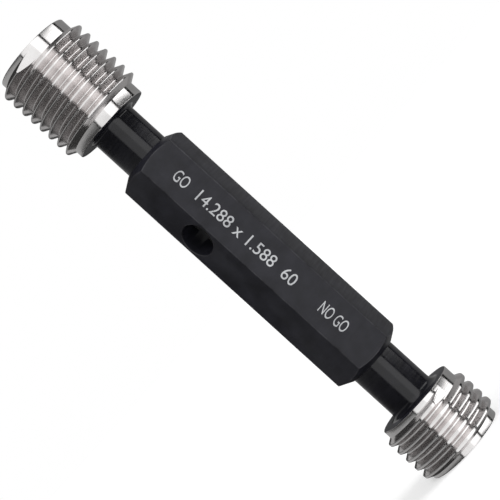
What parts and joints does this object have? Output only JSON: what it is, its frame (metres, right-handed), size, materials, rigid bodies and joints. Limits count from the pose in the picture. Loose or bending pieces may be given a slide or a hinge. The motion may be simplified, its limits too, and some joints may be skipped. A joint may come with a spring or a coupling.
{
  "type": "thread plug gauge",
  "caption": "Double-ended thread plug gauge: hexagonal black handle with a long threaded GO plug and a shorter NOGO plug for checking a tapped hole.",
  "frame": {"origin": "centre of the NOGO end face, which the gauge stands on", "axes": "+Z along the gauge's axis towards the GO end; the marked flat of the handle looks along -Y; +X completes the frame"},
  "size_m": [0.0142, 0.0142, 0.0797],
  "materials": {
    "black_oxide_steel": "satin black oxide with bare edges",
    "ground_steel": "ground thread and lands, black oxide neck"
  },
  "bodies": {
    "root": {"handle": "black_oxide_steel", "go_member": "ground_steel", "nogo_member": "ground_steel"}
  },
  "joints": []
}
